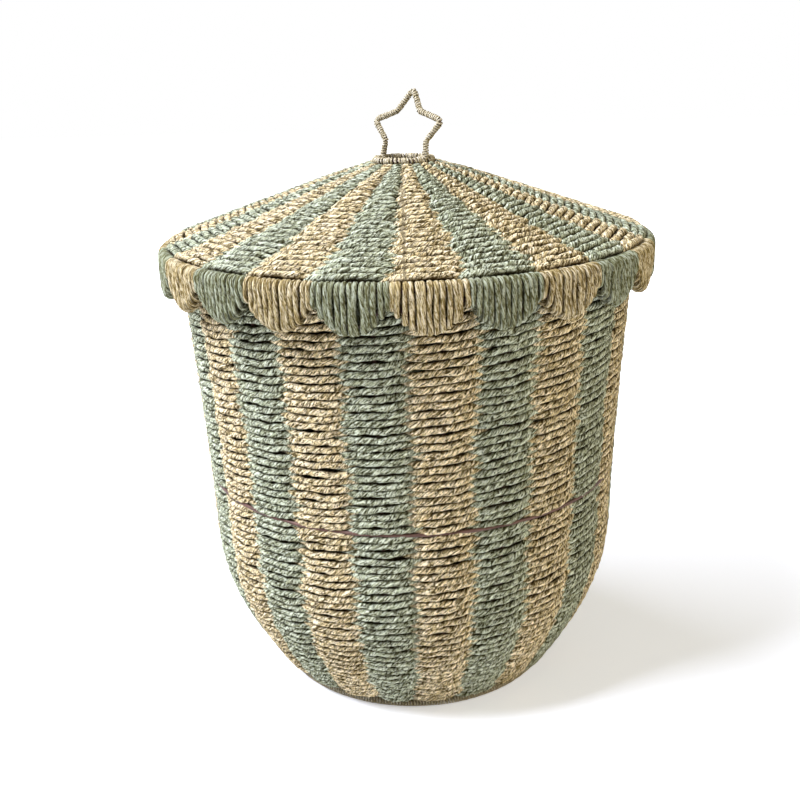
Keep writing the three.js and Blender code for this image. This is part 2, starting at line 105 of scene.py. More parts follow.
# The coil in the floor's middle: radius at its start, and how much less than the
# floor's first row it reaches, for its turns and for its radius
COIL_START = 1.5 * MM
COIL_TURNS_LESS, COIL_RADIUS_LESS = 6 * MM, 5.5 * MM
COIL_POINTS = 240

# Where the lid's first row lies, in half rope thicknesses, and how the size of a row
# follows its pitch
LID_FIRST_ROW = -0.15
SIZE_BY_PITCH = 0.8

# Distance from wrap to wrap of the rim's cord, in cord thicknesses
RIM_PITCH = 1.02

# Distance from wrap to wrap, and width of a wrap, of the flattened cords
FOOT_PITCH, FOOT_WIDTH = 2.4 * MM, 2.3 * MM
CROWN_PITCH, CROWN_WIDTH = 2.05 * MM, 2.1 * MM
STAR_PITCH, STAR_WIDTH = 1.95 * MM, 1.9 * MM

# How strongly wraps draw together into groups
GROUPING = 0.6

# How far the outer wraps of a scallop spread at their lower ends, how much higher the
# wraps beside a notch end, and how unevenly the wraps lie
SCALLOP_SEED = 53
SCALLOP_SPREAD = 0.03
NOTCH_LIFT = 4.0 * MM
PITCH_JITTER = 0.17
FOOT_JITTER = 0.012
WRAP_BOW = 0.4 * MM
WRAP_PROUD = 0.25 * MM
BEND_POINTS = 5

# Size of the scallops' cord, how it varies, by which lengths in millimetres, and how
# much thicker the cord is behind
CORD_SIZE, CORD_UNEVEN, CORD_BEHIND = 1.13, 0.05, 0.3
CORD_LENGTHS = (3.1, 7.3, 19.0)

# Thickness of the scallops' cord across its groove, as a share of the cord
SCALLOP_WAIST = 0.88

# Points round the middle hoop and round its wire, and size of a weld against the wire
HOOP_POINTS, WIRE_POINTS = 144, 10
WELD_SIZE = 1.45

# How far apart two strands lie in the noise of the finish
STRAND_SHIFT = 917.0

# Half of the star's corners and its top, across and up in millimetres
STAR_CORNERS = [(20.9, 14.7), (34.6, 30.4), (11.7, 37.6)]
STAR_TOP = (3.0, 54.8)
STAR_POINTS = 700

# Values of a strand that its path carries and the finished piece doesn't need
ON_THE_PATH = ("outward", "press", "twist", "size", "flat", "depth", "wall")

# Starts of the names of the frame's wires
WIRES = (
    "body_rib", "rim_hoop", "middle_hoop", "base_ring", "scallop_wire", "lid_frame", "star_wire",
)

# Name, place, size, power and colour of each lamp
LAMPS = (
    ("window_light", (-1.75, -0.66, 2.75), 1.2, 184, (0.94, 1.0, 1.22)),
    ("room_light", (2.7, -1.0, 1.1), 2.0, 40, (1.0, 0.9, 0.69)),
    ("back_light", (-1.7, 1.1, 1.9), 1.6, 50, (0.94, 1.0, 1.22)),
)
LAMP_AIM = Vector((0, 0, 0.25))
AIR_LIGHT = 0.14
FLOOR_HALF = 8.0

# The camera's place, and its angles in radians
CAMERA_PLACE = (0, -0.79195, 0.50126)
CAMERA_TURN, CAMERA_DOWN, CAMERA_ROLL = -0.011, 0.333, -0.03
CAMERA_LENS = 43.1

RIM_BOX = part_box("rim_wrap")


def length(name, description, default):
    """A size in metres, given in millimetres."""
    return FloatProperty(
        name=name, description=description, default=default * MM, min=0.0, soft_max=1.0,
        precision=5, unit="LENGTH", subtype="DISTANCE",
    )


def angle(name, description, default):
    """An angle, given in degrees."""
    return FloatProperty(
        name=name, description=description, default=math.radians(default), subtype="ANGLE",
    )


def share(name, description, default):
    """A plain factor."""
    return FloatProperty(name=name, description=description, default=default, min=0.0, soft_max=4.0)


def tone(name, description, red, green, blue):
    """A colour, given as it looks on a screen from 0 to 255."""
    def linear(level):
        level /= 255
        return level / 12.92 if level <= 0.04045 else ((level + 0.055) / 1.055) ** 2.4

    return FloatVectorProperty(
        name=name, description=description, subtype="COLOR", size=3, min=0.0, max=1.0,
        default=(linear(red), linear(green), linear(blue)),
    )


class BodyShape(bpy.types.PropertyGroup):
    """Sizes of the basket's wall, floor, rim and foot"""
    rib_count: IntProperty(name="Ribs", description="Ribs round the basket", default=24, min=4)
    turn: angle("Turn", "Angle of the first natural stripe from the front", 7.5)
    rim_radius: length("Rim radius", "Outside of the weave at the rim", 186.5)
    flare_power: share("Flare", "How late the wall flares above the waist", 1.6)
    waist_radius: length("Waist radius", "Outside of the weave at the waist", 175)
    waist_height: length("Waist height", "Height of the waist above the floor", 130)
    foot_radius: length("Foot radius", "Outside of the foot", 124.3)
    bowl_power: share("Bowl", "How round the bowl is below the waist", 1.82)
    rib_wire: length("Rib wire", "Diameter of the ribs", 3)
    hoop_height: length("Hoop height", "Height of the middle hoop", 184)
    hoop_wire: length("Hoop wire", "Diameter of the middle hoop", 3)
    rim_wire: length("Rim wire", "Diameter of the rim's hoop", 4)
    rim_cord: length("Rim cord", "Thickness of the cord round the rim", 2.9)
    foot_wire: length("Foot wire", "Diameter of the foot's ring", 3)
    foot_cord: length("Foot cord", "Thickness of the cord round the foot", 1.4)
    foot_cut: length("Foot flat", "How far the foot's cord is pressed flat", 0.5)
    floor_start: length("Floor start", "Radius at which the floor's rows start", 26.5)


class LidShape(bpy.types.PropertyGroup):
    """Sizes of the lid, its scallops, its crown and its star"""
    turn: angle("Turn", "Angle of the first natural stripe from the front", 4.2)
    slope: angle("Slope", "Slope of the lid's ribs", 19.1)
    rib_wire: length("Rib wire", "Diameter of the lid's ribs", 3)
    skirt_gap: length("Skirt gap", "Room between the scallops and the rim", 2)
    seat_gap: length("Seat gap", "Room between the lid and the rim", 0.5)
    hoop_wire: length("Hoop wire", "Diameter of the lid's hoop", 3.5)
    hoop_drop: length("Hoop drop", "How far the hoop lies below the ribs", 2.4)
    scallop_cord: length("Scallop cord", "Thickness of the cord round a scallop", 3.7)
    scallop_depth: length("Scallop depth", "Height of a scallop in its middle", 36)
    scallop_notch: length("Scallop notch", "Height of a scallop at its sides", 20)
    scallop_wraps: IntProperty(name="Wraps", description="Wraps in a scallop", default=13, min=4)
    crown_radius: length("Crown radius", "Radius of the crown's ring", 22.4)
    crown_wire: length("Crown wire", "Diameter of the crown's ring", 3)
    crown_weld: length("Crown weld", "How deep the crown's ring is welded to the ribs", 0.4)
    crown_cord: length("Crown cord", "Thickness of the cord round the crown", 1.4)
    star_turn: angle("Star turn", "Turn of the star about the lid's axis", 40)
    star_lean: angle("Star lean", "Lean of the star away from the front", 12)
    star_bend: length("Star bend", "Radius of the star's corners", 3.2)
    star_wire: length("Star wire", "Diameter of the star's wire", 2.2)
    star_cord: length("Star cord", "Thickness of the cord round the star", 1.15)


class RopeSizes(bpy.types.PropertyGroup):
    """Sizes of the twisted rope and of its weave"""
    row_pitch: length("Row pitch", "Distance from one row of the body to the next", 6.0)
    lid_pitch: length("Lid row pitch", "Distance between the lid's rows at its edge", 7.0)
    crown_pitch: length("Crown row pitch", "Distance between the lid's rows at its crown", 4.9)
    body_radius: length("Body rope radius", "Half the body rope's thickness", 2.9)
    lid_radius: length("Lid rope radius", "Half the lid rope's thickness", 3.0)
    lay: length("Lay", "Length in which the rope's two plies twist once", 20)
    scallop_lay: length("Scallop lay", "Length in which the scallop cord twists once", 45)
    waist: share("Groove", "Thickness across the groove, as a share of the rope", 0.81)
    rise: length("Crossing rise", "How far two strands part where they cross", 1.75)
    press: share("Pressing", "Height of a strand where it crosses, as a share", 0.97)
    square: share("Straightness", "How straight a strand runs from rib to rib", 0.07)
    wobble: length("Wobble", "How far the rows stray from their line", 0.65)
    unevenness: length("Unevenness", "How far the body's rows lie from an even pitch", 0.2)
    straying: share("Straying", "How far off half way the strands cross, in ribs' distances", 0.065)
    fullness: share("Fullness", "How much thicker a strand is where nothing presses it", 0.12)
    inside: share("Inside", "How much thicker a strand is on the wall's inner side", 0.18)
    step: length("Step", "Distance between the points of a rope's line", 2.0)
    hoop_gap: length("Hoop gap", "From the middle hoop to the rows beside it", 3.45)


class Finish(bpy.types.PropertyGroup):
    """Colours of the paper, the wire and the stage"""
    natural: tone("Natural rope", "Straw-coloured paper", 226, 203, 146)
    green: tone("Green rope", "Sage-green paper", 175, 179, 142)
    cord: tone("Fine cord", "Paper cord of the star, the crown and the foot", 236, 223, 186)
    wire: tone("Wire", "Brown lacquer", 92, 60, 44)
    floor: tone("Floor", "Pale studio floor", 247, 247, 246)


# Lines and rows


def distance_along(points):
    """Distance along a line at each of its points."""
    steps = np.linalg.norm(np.diff(points, axis=0), axis=1)
    return np.concatenate([[0.0], np.cumsum(steps)])


def resampled(place, done, values):
    """Vectors along a line, at other distances along it."""
    return np.stack([np.interp(place, done, values[:, i]) for i in range(3)], axis=-1)


def unit(vectors):
    return vectors / np.linalg.norm(vectors, axis=1)[:, None]


class MidLine:
    """The line half way through a wall, by distance along it.

    The outer side lies to the right of the way the line runs.
    """

    def __init__(self, radius, height):
        self.radius = np.asarray(radius, float)
        self.height = np.asarray(height, float)
        self.place = distance_along(np.stack([self.radius, self.height], axis=-1))
        self.along_radius = np.gradient(self.radius, self.place)
        self.along_height = np.gradient(self.height, self.place)

    def at(self, place):
        """Radius, height and the direction along the line."""
        radius, height, along_radius, along_height = (
            np.interp(place, self.place, values)
            for values in (self.radius, self.height, self.along_radius, self.along_height)
        )
        size = np.hypot(along_radius, along_height)
        return radius, height, along_radius / size, along_height / size

    def place_at_height(self, height):
        return float(np.interp(height, self.height, self.place))


def round_axis(turn, radius, height):
    """Points or directions at an angle from the front, which faces -Y."""
    turn, radius, height = np.broadcast_arrays(turn, radius, height)
    return np.stack([radius * np.sin(turn), -radius * np.cos(turn), height], axis=-1)


def sleeve(wire, cord):
    """Outer radius of the cord wound round a wire."""
    return wire / 2 + CLEARANCE + cord


def half_wall(rib_wire, rope):
    return rib_wire / 2 + rope


def outer_radius(shape, height):
    """Outside of the body's weave at a height."""
    rim = RIM_BOX[1].z
    above = np.maximum(0, (height - shape.waist_height) / (rim - shape.waist_height))
    below = np.maximum(0, 1 - height / shape.waist_height)
    flare = (shape.rim_radius - shape.waist_radius) * above ** shape.flare_power
    bowl = (shape.waist_radius - shape.foot_radius) * below ** shape.bowl_power
    return shape.waist_radius + flare - bowl


def wall_line(shape):
    """The middle of the wall, from just above the foot up to the rim."""
    height = np.linspace(WALL_START, RIM_BOX[1].z, WALL_POINTS)
    outside = outer_radius(shape, height)
    lean = np.gradient(outside, height)
    size = np.hypot(1, lean)
    depth = half_wall(shape.rib_wire, BODY_ROPE)
    return MidLine(outside - depth / size, height + depth * lean / size)


def floor_height(shape):
    """Height of the ribs' middle in the floor, just above the foot's ring."""
    wrap = sleeve(shape.foot_wire, shape.foot_cord)
    return 2 * wrap - shape.foot_cut + FLOOR_GAP + shape.rib_wire / 2


def lid_rib_height(shape, lid, radius):
    """Height of a lid rib's middle at a radius."""
    wrap = sleeve(shape.rim_wire, shape.rim_cord)
    rim_height = RIM_BOX[1].z - wrap
    rim_radius = (RIM_BOX[1].x - RIM_BOX[0].x) / 2 - wrap
    seat = (wrap + lid.seat_gap + half_wall(lid.rib_wire, LID_ROPE)) / math.cos(lid.slope)
    return rim_height + seat + (rim_radius - radius) * math.tan(lid.slope)


class Strand:
    """The middle line of one rope or cord, with what its section needs at each point.

    outward faces away from the core or the wall, size is half the thickness and twist
    turns the section. press is the direction in which a strand is pressed, as long as it
    is pressed, and flat is how far its inner side is pressed. depth is the place across
    the wall, and wall half the wall's thickness, which is the size where there is no wall.
    """

    def __init__(self, points, outward, closed, size, tone_shift=0.5):
        count = len(points)
        self.points = points
        self.outward = outward
        self.closed = closed
        self.size = np.full(count, size)
        self.twist = np.zeros(count)
        self.flat = np.zeros(count)
        self.depth = np.zeros(count)
        self.press = np.zeros((count, 3))
        self.wall = None
        self.tone_shift = tone_shift

    def along(self):
        return distance_along(self.points)


def waves(random, turn, size, lowest, highest, count=4):
    """A smooth random height round the basket, which closes on itself.

    It sums as many waves as count, each with lowest to highest crests in a round.
    """
    total = np.zeros_like(turn)
    for _ in range(count):
        times = random.integers(lowest, highest + 1)
        total += np.cos(times * turn + random.uniform(0, FULL_TURN))
    return total * size / math.sqrt(count)


class Weave:
    """Rows of two strands that change sides at each rib."""

    def __init__(self, line, turn, half, thickness, radius, seed, step=1.0):
        body, _, self.rope = settings()
        self.line = line
        self.rib_count = body.rib_count
        self.green_rib = turn - FULL_TURN / body.rib_count
        self.half = half
        self.swing = half - thickness / 2
        self.flat = max(0.0, 1 - thickness / (2 * radius))
        self.radius = radius
        self.seed = seed
        self.random = np.random.default_rng(seed)
        self.step = step * self.rope.step
        self.drift = [
            (self.random.integers(2, 8), self.random.uniform(-0.5, 0.5), self.random.uniform(0, 6))
            for _ in range(5)
        ]

    def row(self, index, place, side, scale=1.0):
        """One strand of a row. side is 1 for green and -1 for natural."""
        rope, random = self.rope, self.random
        girth = FULL_TURN * float(self.line.at(place)[0])
        swing = self.swing * min(1.0, max(LEAST_SWING, girth / self.rib_count / FULL_SWING_ROOM))
        rough = math.hypot(girth, SWING_LENGTH * self.swing * self.rib_count)
        count = max(LEAST_RIB_POINTS * self.rib_count, round(rough / self.step))
        turn = np.arange(count) * FULL_TURN / count

        # The two strands of a row cross at the same places
        shared = np.random.default_rng((self.seed, index))
        phase = math.pi * (turn - self.green_rib) * self.rib_count / FULL_TURN
        phase = phase + waves(shared, turn, math.pi * rope.straying,
                              lowest=self.rib_count // 3, highest=self.rib_count, count=6)
        wave = np.cos(phase) - rope.square * np.cos(3 * phase)
        offset = side * swing * wave / (1 - rope.square)
        crossing = np.sin(phase) * np.abs(np.sin(phase))

        drift = sum(np.cos(m * turn + n * index + shift) for m, n, shift in self.drift)
        stray = rope.wobble * drift / 3
        stray = stray + waves(random, turn, 0.7 * rope.wobble, lowest=5, highest=60, count=8)
        radius, height, along_radius, along_height = self.line.at(
            place + side * rope.rise * crossing + stray)
        offset = offset + waves(random, turn, ROUGHNESS, lowest=5, highest=40)
        points = round_axis(turn, radius + along_height * offset, height - along_radius * offset)
        outward = round_axis(turn, along_height, -along_radius)

        strand = Strand(points, outward, True, self.radius, random.uniform())
        pressing = np.sqrt((1 - rope.press) * crossing ** 2)
        strand.press = round_axis(turn, along_radius, along_height) * pressing[:, None]
        strand.flat = self.flat * np.cos(phase) ** 2
        strand.depth = offset
        strand.wall = np.full(count, self.half)
        done = distance_along(np.vstack([points, points[:1]]))
        twists = round(done[-1] / rope.lay)
        strand.twist = random.uniform(0, FULL_TURN) - FULL_TURN * twists * done[:-1] / done[-1]
        strand.twist += waves(random, turn, TWIST_STRAY, lowest=20, highest=60)
        uneven = waves(random, turn, UNEVEN_LONG, lowest=8, highest=60, count=6)
        uneven = uneven + waves(random, turn, UNEVEN_SHORT, lowest=60, highest=170, count=5)
        strand.size = strand.size * scale * (1 + uneven) * (1 + rope.fullness * np.sin(phase) ** 2)
        strand.size *= 1 + rope.inside * np.maximum(0.0, -side * np.cos(phase))
        return strand


def wound(core, tangent, side, radius, pitch, thickness, wrap_points, jitter, seed, groups=0):
    """A cord wound round a core. side is a direction square to the core at each point.

    The wraps stand closer and wider by turns, in as many groups as given.
    """
    random = np.random.default_rng(seed)
    done = distance_along(core)
    wraps = max(2, round(done[-1] / pitch))
    count = wraps * wrap_points + 1
    place = np.linspace(0, done[-1], count)
    if groups:
        crowding = groups * FULL_TURN / done[-1]
        place -= GROUPING * np.sin(crowding * place) / crowding
    along = unit(resampled(place, done, tangent))
    first = resampled(place, done, side)
    first = unit(first - along * np.sum(first * along, axis=1)[:, None])
    second = np.cross(along, first)
    swing = (FULL_TURN * wraps * np.linspace(0, 1, count))[:, None]
    outward = first * np.cos(swing) + second * np.sin(swing)
    uneven = 1 + jitter * np.repeat(random.normal(size=wraps + 1), wrap_points)[:count]
    points = resampled(place, done, core) + outward * (radius * uneven)[:, None]
    return Strand(points, outward, False, thickness / 2, random.uniform())


# Node trees


class Tree:
    """Fills a node tree from the left, one node at a time."""

    def __init__(self, tree):
        self.tree = tree
        self.column = 0

    @classmethod
    def group(cls, name, kind, inputs, outputs):
        """A new node group. inputs maps names to the kind of their values and a default."""
        made = cls(bpy.data.node_groups.new(name, kind))
        made.entry = made.tree.nodes.new("NodeGroupInput")
        made.exit = made.tree.nodes.new("NodeGroupOutput")
        new_socket = made.tree.interface.new_socket
        for label, (values, default) in inputs.items():
            socket = new_socket(label, in_out="INPUT", socket_type="NodeSocket" + values)
            if default is not None:
                socket.default_value = default
        for label, values in outputs.items():
            new_socket(label, in_out="OUTPUT", socket_type="NodeSocket" + values)
        return made

    def given(self, name):
        return self.entry.outputs[name]

    def fill(self, node, inputs):
        """Sets a node's inputs. A socket's name or number maps to a link or a value."""
        for key, value in inputs.items():
            if isinstance(key, int):
                socket = node.inputs[key]
            else:
                socket = next(s for s in node.inputs if s.name == key and s.enabled)
            if isinstance(value, bpy.types.NodeSocket):
                self.tree.links.new(value, socket)
            else:
                socket.default_value = value

    def node(self, kind, inputs=None, **options):
        node = self.tree.nodes.new(kind)
        for key, value in options.items():
            setattr(node, key, value)
        self.column += 1
        node.location = (self.column * 180, -(self.column % 4) * 160)
        self.fill(node, inputs or {})
        return node

    def add(self, kind, inputs=None, **options):
        """Adds a node and hands out its first output."""
        return self.node(kind, inputs, **options).outputs[0]

    def math(self, operation, first, second=0.0):
        return self.add("ShaderNodeMath", {0: first, 1: second}, operation=operation)

    def times(self, first, second):
        return self.math("MULTIPLY", first, second)

    def plus(self, first, second):
        return self.math("ADD", first, second)

    def minus(self, first, second):
        return self.math("SUBTRACT", first, second)

    def vector(self, operation, first, second):
        return self.add("ShaderNodeVectorMath", {0: first, 1: second}, operation=operation)

    def dot(self, first, second):
        inputs = {0: first, 1: second}
        return self.node("ShaderNodeVectorMath", inputs, operation="DOT_PRODUCT").outputs["Value"]

    def scaled(self, vector, factor):
        return self.add("ShaderNodeVectorMath", {0: vector, 3: factor}, operation="SCALE")

    def named(self, name, kind="FLOAT"):
        """A stored value of the points."""
        node = self.node("GeometryNodeInputNamedAttribute", {"Name": name}, data_type=kind)
        return next(s for s in node.outputs if s.enabled and s.name == "Attribute")

    def stored(self, geometry, name, value, kind="FLOAT_VECTOR"):
        inputs = {"Geometry": geometry, "Name": name, "Value": value}
        return self.add("GeometryNodeStoreNamedAttribute", inputs, data_type=kind, domain="POINT")

    def circle(self, points, radius):
        inputs = {"Resolution": points, "Radius": radius}
        return self.add("GeometryNodeCurvePrimitiveCircle", inputs)

    def finish(self, **outputs):
        self.exit.location = ((self.column + 2) * 180, 0)
        self.fill(self.exit, outputs)
        return self.tree

    def finish_solid(self, geometry):
        """Makes the geometry real and smooth, and gives it the material."""
        geometry = self.add("GeometryNodeSetShadeSmooth", {"Geometry": geometry})
        geometry = self.add("GeometryNodeRealizeInstances", {"Geometry": geometry})
        inputs = {"Geometry": geometry, "Material": self.given("Material")}
        return self.finish(Solid=self.add("GeometryNodeSetMaterial", inputs))


def rope_tree():
    """A rope along each path, with a waisted section that turns with the twist.

    The path's points carry the values of a Strand. The section is pressed along the
    press direction, and keeps its place round the rope for the finish.
    """
    tree = Tree.group("Twisted rope", "GeometryNodeTree", {
        "Path": ("Geometry", None), "Sides": ("Int", 8), "Waist": ("Float", 0.81),
        "Flatness": ("Float", 1.0), "Material": ("Material", None),
    }, {"Solid": "Geometry"})
    times, plus, minus = tree.times, tree.plus, tree.minus
    place = tree.add("GeometryNodeInputPosition")
    outward = tree.named("outward", "FLOAT_VECTOR")
    size = tree.named("size")

    curve = tree.add("GeometryNodeMeshToCurve", {"Mesh": tree.given("Path")})
    curve = tree.add("GeometryNodeSetCurveNormal", {"Curve": curve, "Normal": outward}, mode="FREE")
    curve = tree.add("GeometryNodeSetCurveTilt", {"Curve": curve, "Tilt": tree.named("twist")})
    curve = tree.stored(curve, "centre", place)

    # The section is a circle drawn in on two sides, a little fuller between them
    section = tree.stored(tree.circle(tree.given("Sides"), 1.0), "section", place)
    across = tree.node("ShaderNodeSeparateXYZ", {0: place}).outputs
    lobes = minus(times(across[0], across[0]), times(across[1], across[1]))
    narrow = minus(1.0, tree.given("Waist"))
    swell = times(lobes, times(narrow, 0.5))
    belly = times(minus(1.0, times(lobes, lobes)), times(narrow, 0.1))
    reach = plus(plus(minus(1.0, times(narrow, 0.5)), swell), belly)
    flat = tree.add("ShaderNodeCombineXYZ", {0: tree.given("Flatness"), 1: 1.0, 2: 1.0})
    corner = tree.vector("MULTIPLY", tree.scaled(place, reach), flat)
    section = tree.add("GeometryNodeSetPosition", {"Geometry": section, "Position": corner})
    rope = tree.add("GeometryNodeCurveToMesh", {
        "Curve": curve, "Profile Curve": section, "Scale": size, "Fill Caps": True,
    })

    press = tree.named("press", "FLOAT_VECTOR")
    arm = tree.vector("SUBTRACT", place, tree.named("centre", "FLOAT_VECTOR"))
    pressed = tree.scaled(press, times(tree.dot(arm, press), -1.0))
    inward = times(times(tree.dot(arm, outward), -1.0), tree.named("flat"))
    offset = tree.vector("ADD", pressed, tree.scaled(outward, inward))
    rope = tree.add("GeometryNodeSetPosition", {"Geometry": rope, "Offset": offset})

    # Light reaches what stands proud of the strand's middle and of the wall's middle
    proud = tree.dot(arm, outward)
    side = tree.math("DIVIDE", tree.math("ABSOLUTE", proud), size)
    level = times(plus(proud, tree.named("depth")), tree.math("SIGN", proud))
    level = tree.math("DIVIDE", level, tree.named("wall"))
    lit = tree.math("MINIMUM", times(minus(side, 0.08), 2.5), times(plus(level, 0.04), 3.0))
    rope = tree.stored(rope, "lit", tree.add("ShaderNodeClamp", {"Value": lit}), "FLOAT")
    return tree.finish_solid(rope)


def hoop_tree():
    """A wire hoop with a small weld at each rib."""
    tree = Tree.group("Welded hoop", "GeometryNodeTree", {
        "Path": ("Geometry", None), "Radius": ("Float", 0.17), "Height": ("Float", 0.18),
        "Wire": ("Float", 0.003), "Welds": ("Int", 24), "Turn": ("Float", 0.0), "Seed": ("Int", 5),
        "Material": ("Material", None),
    }, {"Solid": "Geometry"})
    radius = tree.given("Radius")
    half = tree.times(tree.given("Wire"), 0.5)
    wire = tree.add("GeometryNodeCurveToMesh", {
        "Curve": tree.circle(HOOP_POINTS, radius), "Profile Curve": tree.circle(WIRE_POINTS, half),
    })
    spots = tree.circle(tree.given("Welds"), tree.minus(radius, half))
    turn = tree.add("ShaderNodeCombineXYZ", {2: tree.given("Turn")})
    spots = tree.add("GeometryNodeTransform", {"Geometry": spots, "Rotation": turn})
    bead = tree.add("GeometryNodeMeshIcoSphere", {
        "Radius": tree.times(half, WELD_SIZE), "Subdivisions": 2,
    })
    uneven = tree.add("FunctionNodeRandomValue", {
        "Min": (0.8, 0.8, 0.75), "Max": (1.25, 1.25, 1.1), "Seed": tree.given("Seed"),
    }, data_type="FLOAT_VECTOR")
    beads = tree.add("GeometryNodeInstanceOnPoints", {
        "Points": spots, "Instance": bead, "Scale": uneven,
    })
    joined = tree.node("GeometryNodeJoinGeometry")
    for part in (wire, beads):
        tree.fill(joined, {0: part})
    up = tree.add("ShaderNodeCombineXYZ", {2: tree.given("Height")})
    inputs = {"Geometry": joined.outputs[0], "Translation": up}
    return tree.finish_solid(tree.add("GeometryNodeTransform", inputs))


def kept(name, make):
    """The node group of that name, made once."""
    return bpy.data.node_groups.get(name) or make()


def path_mesh(name, strands):
    """Edges along the strands, with their values as point attributes."""
    edges = []
    start = 0
    for strand in strands:
        index = np.arange(start, start + len(strand.points))
        pairs = np.stack([index, np.roll(index, -1)], axis=-1)
        edges.append(pairs if strand.closed else pairs[:-1])
        start += len(index)
    edges = np.concatenate(edges)
    points = np.concatenate([s.points for s in strands])
    mesh = bpy.data.meshes.new(name)
    mesh.vertices.add(len(points))
    mesh.vertices.foreach_set("co", points.astype(np.float32).ravel())
    mesh.edges.add(len(edges))
    mesh.edges.foreach_set("vertices", edges.astype(np.int32).ravel())
    values = {key: [getattr(s, key) for s in strands] for key in ON_THE_PATH if key != "wall"}
    values["wall"] = [s.size if s.wall is None else s.wall for s in strands]
    values["along"] = [s.along() for s in strands]
    values["strand"] = [np.full(len(s.points), s.tone_shift) for s in strands]
    for key, parts in values.items():
        data = np.concatenate(parts).astype(np.float32)
        kind, field = ("FLOAT_VECTOR", "vector") if data.ndim == 2 else ("FLOAT", "value")
        mesh.attributes.new(key, kind, "POINT").data.foreach_set(field, data.ravel())
    mesh.update()
    return mesh


def made_solid(name, mesh, tree, values, body):
    """Runs a node tree on a mesh and keeps the result as a plain mesh on a body."""
    piece = bpy.data.objects.new(name, mesh)
    bpy.context.scene.collection.objects.link(piece)
    modifier = piece.modifiers.new("Shape", "NODES")
    modifier.node_group = tree
    for item in tree.interface.items_tree:
        if item.in_out == "INPUT" and item.name in values:
            modifier[item.identifier] = values[item.name]
    depsgraph = bpy.context.evaluated_depsgraph_get()
    result = bpy.data.meshes.new_from_object(piece.evaluated_get(depsgraph))
    if len(result.polygons) == 0:
        raise RuntimeError(f"{name} has no faces")
    piece.modifiers.remove(modifier)
    piece.data = result
    result.name = name
    bpy.data.meshes.remove(mesh)
    for key in (*ON_THE_PATH, "centre"):
        if key in result.attributes:
            result.attributes.remove(result.attributes[key])
    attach(piece, body)
    return piece


def laid(name, strands, material, body, waist, sides=8, flatness=1.0):
    """A rope or cord along the strands, as one piece."""
    values = {"Sides": sides, "Waist": waist, "Flatness": flatness, "Material": material}
    tree = kept("Twisted rope", rope_tree)
    return made_solid(name, path_mesh(name + "_path", strands), tree, values, body)


# Finishes


def skin_group():
    """Colour, roughness and height of twisted paper, from its place on the rope. Its colour carries
    painted highlight, painted shade in the ply groove and creases, and painted shadow where little
    light reaches.
    """
    tree = Tree.group("Twisted paper", "ShaderNodeTree", {
        "Colour": ("Color", (0.8, 0.8, 0.8, 1)), "Pale": ("Color", (0.9, 0.9, 0.85, 1)),
        "Deep": ("Color", (0.3, 0.28, 0.2, 1)), "Tint": ("Color", (0.8, 0.7, 0.6, 1)),
        "Shadow": ("Color", (0.03, 0.02, 0.01, 1)), "Groove": ("Float", 1.0),
        "Fibre length": ("Float", 0.009),
    }, {"Colour": "Color", "Roughness": "Float", "Height": "Float"})
    times, plus = tree.times, tree.plus

    def carried(name):
        return tree.node("ShaderNodeAttribute", attribute_name=name).outputs

    across = tree.node("ShaderNodeSeparateXYZ", {0: carried("section")["Vector"]}).outputs
    run = tree.math("DIVIDE", carried("along")["Fac"], tree.given("Fibre length"))
    run = plus(run, times(carried("strand")["Fac"], STRAND_SHIFT))

    def fibres(width, stretch, detail, roughness):
        """Noise drawn out along the rope."""
        place = tree.add("ShaderNodeCombineXYZ", {
            0: times(across[0], width), 1: times(across[1], width), 2: times(run, stretch),
        })
        inputs = {"Vector": place, "Scale": 1.0, "Detail": detail, "Roughness": roughness}
        return tree.add("ShaderNodeTexNoise", inputs)

    def ramp(value, low, high, to_low, to_high):
        return tree.add("ShaderNodeMapRange", {
            "Value": value, "From Min": low, "From Max": high, "To Min": to_low, "To Max": to_high,
        }, clamp=True)

    def mixed(factor, first, second):
        inputs = {0: factor, 6: first, 7: second}
        return tree.node("ShaderNodeMix", inputs, data_type="RGBA").outputs[2]

    streak = fibres(2.8, 1.5, detail=2.0, roughness=0.6)
    crease = fibres(1.5, 3.2, detail=3.0, roughness=0.7)
    speck = fibres(3.2, 6.0, detail=1.0, roughness=0.5)
    patch = fibres(0.35, 0.3, detail=2.0, roughness=0.5)

    colour = mixed(ramp(patch, 0.38, 0.66, 0.0, 0.6), tree.given("Colour"), tree.given("Tint"))
    # Pale streaks along the fibres, partly the paper's paler fibres and partly painted highlight
    colour = mixed(ramp(streak, 0.49, 0.55, 0.0, 1.0), colour, tree.given("Pale"))
    # Painted shade in the groove between the plies and in the paper's creases and cracks, drawn in
    # the dark colour
    groove_and_crease_shade = ramp(times(across[1], across[1]), 0.5, 1.0, 0.0, 1.0)
    groove_and_crease_shade = times(times(groove_and_crease_shade, ramp(crease, 0.35, 0.6, 1.0, 0.25)), tree.given("Groove"))
    for crack in (ramp(crease, 0.48, 0.42, 0.0, 1.0), ramp(streak, 0.45, 0.38, 0.0, 1.0),
                  ramp(speck, 0.44, 0.37, 0.0, 1.0)):
        groove_and_crease_shade = tree.math("MAXIMUM", groove_and_crease_shade, crack)
    colour = mixed(groove_and_crease_shade, colour, tree.given("Deep"))
    colour = mixed(ramp(carried("lit")["Fac"], 0.0, 1.0, 0.93, 0.0), colour, tree.given("Shadow"))
    height = plus(times(streak, 0.8), times(crease, 0.7))
    return tree.finish(Colour=colour, Roughness=ramp(streak, 0.3, 0.8, 0.92, 0.74), Height=height)


def shaded(colour, factor, grey=0.0):
    """A colour made darker or paler, and duller by grey. Its hue stays."""
    mean = sum(colour) / 3
    dulled = [c * (1 - grey) + mean * grey for c in colour]
    factor = min(factor, 1 / max(dulled))
    return tuple(c * factor for c in dulled) + (1.0,)


